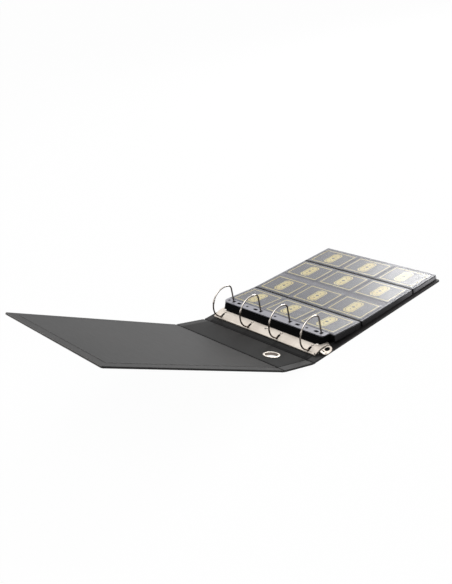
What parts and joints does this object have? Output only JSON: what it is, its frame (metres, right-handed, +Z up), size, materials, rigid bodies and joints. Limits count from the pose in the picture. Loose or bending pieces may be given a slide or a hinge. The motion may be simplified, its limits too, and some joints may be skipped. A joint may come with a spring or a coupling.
{
  "type": "trading card ring binder",
  "caption": "Open ring binder with a hinged case, D rings on a lever-opened housing, and a pile of pocket leaves filled with cards.",
  "frame": {"origin": "middle of the back cover's underside, where it lies on the table", "axes": "+X from the spine to the back cover's free edge, +Y along the spine away from the opening lever, +Z up"},
  "size_m": [0.7413, 0.306, 0.2011],
  "materials": {
    "cover_skin": "fine-grained matt covering with a soft sheen",
    "greyboard": "raw board",
    "lining": "matt dark lining",
    "nickel": "bright nickel plate",
    "plated_sheet": "satin nickel plate",
    "clear_film": "clear soft film",
    "card": "coated card",
    "pocket_sheet": "black pocket sheet, lightly mottled"
  },
  "bodies": {
    "back_cover": {"back_wrap": "cover_skin", "back_board": "greyboard", "back_lining": "lining", "ring_housing": "plated_sheet", "lever_pin": "nickel", "near_rivet": "nickel", "far_rivet": "nickel", "centre_stud": "nickel", "leaf_2": "pocket_sheet", "leaf_3": "pocket_sheet", "leaf_4": "pocket_sheet", "leaf_5": "pocket_sheet", "leaf_6": "pocket_sheet"},
    "spine": {"spine_wrap": "cover_skin", "spine_board": "greyboard", "spine_lining": "lining", "thumb_ring_outer": "nickel", "thumb_ring_inner": "nickel"},
    "front_cover": {"front_wrap": "cover_skin", "front_board": "greyboard", "front_lining": "lining"},
    "left_ring_bar": {"left_carrier_plate": "plated_sheet", "ring_1_left": "nickel", "ring_2_left": "nickel", "ring_3_left": "nickel", "ring_4_left": "nickel"},
    "right_ring_bar": {"right_carrier_plate": "plated_sheet", "ring_1_right": "nickel", "ring_2_right": "nickel", "ring_3_right": "nickel", "ring_4_right": "nickel"},
    "lever": {"opening_lever": "plated_sheet"},
    "leaf_strip": {"leaf_1_strip": "pocket_sheet"},
    "leaf_inner": {"leaf_1_inner_backing": "pocket_sheet", "leaf_1_inner_film": "clear_film", "leaf_1_card_1_1": "card", "leaf_1_card_2_1": "card", "leaf_1_card_3_1": "card"},
    "leaf_outer": {"leaf_1_outer_backing": "pocket_sheet", "leaf_1_middle_film": "clear_film", "leaf_1_right_film": "clear_film", "leaf_1_card_1_2": "card", "leaf_1_card_2_2": "card", "leaf_1_card_3_2": "card", "leaf_1_card_1_3": "card", "leaf_1_card_2_3": "card", "leaf_1_card_3_3": "card", "leaf_1_card_1_4": "card", "leaf_1_card_2_4": "card", "leaf_1_card_3_4": "card"}
  },
  "joints": [
    {"name": "spine_fold", "type": "hinge", "parent": "back_cover", "child": "spine", "pos_m": [-0.18, 0, 0.00025], "axis": [0, 1, 0], "range_deg": [-17, 73]},
    {"name": "cover_fold", "type": "hinge", "parent": "spine", "child": "front_cover", "pos_m": [-0.2479, 0, 0.02101], "axis": [0, -1, 0], "range_deg": [-77.5, 12.5]},
    {"name": "ring_opening", "type": "hinge", "parent": "back_cover", "child": "left_ring_bar", "pos_m": [-0.16135, 0, 0.0049], "axis": [0, 1, 0], "range_deg": [-8, 0]},
    {"name": "right_ring_turn", "type": "hinge", "parent": "back_cover", "child": "right_ring_bar", "pos_m": [-0.12035, 0, 0.0049], "axis": [0, 1, 0], "range_deg": [0, 8]},
    {"name": "lever_lift", "type": "hinge", "parent": "back_cover", "child": "lever", "pos_m": [-0.14085, -0.1375, 0.0069], "axis": [1, 0, 0], "range_deg": [-20, 0]},
    {"name": "leaf_lift", "type": "slide", "parent": "back_cover", "child": "leaf_strip", "axis": [0, 0, 1], "range_m": [0, 0.026]},
    {"name": "leaf_turn", "type": "hinge", "parent": "leaf_strip", "child": "leaf_inner", "pos_m": [-0.11368, 0, 0.02307], "axis": [0, -1, 0], "range_deg": [0, 90]},
    {"name": "leaf_flex", "type": "hinge", "parent": "leaf_inner", "child": "leaf_outer", "pos_m": [-0.0441, 0, 0.01601], "axis": [0, -1, 0], "range_deg": [0, 10]}
  ],
  "couplings": [
    {"joint": "right_ring_turn", "follows": "ring_opening", "ratio": -1},
    {"joint": "lever_lift", "follows": "ring_opening", "ratio": 2.5},
    {"joint": "leaf_lift", "follows": "leaf_turn", "m_per_rad": 0.016552}
  ]
}
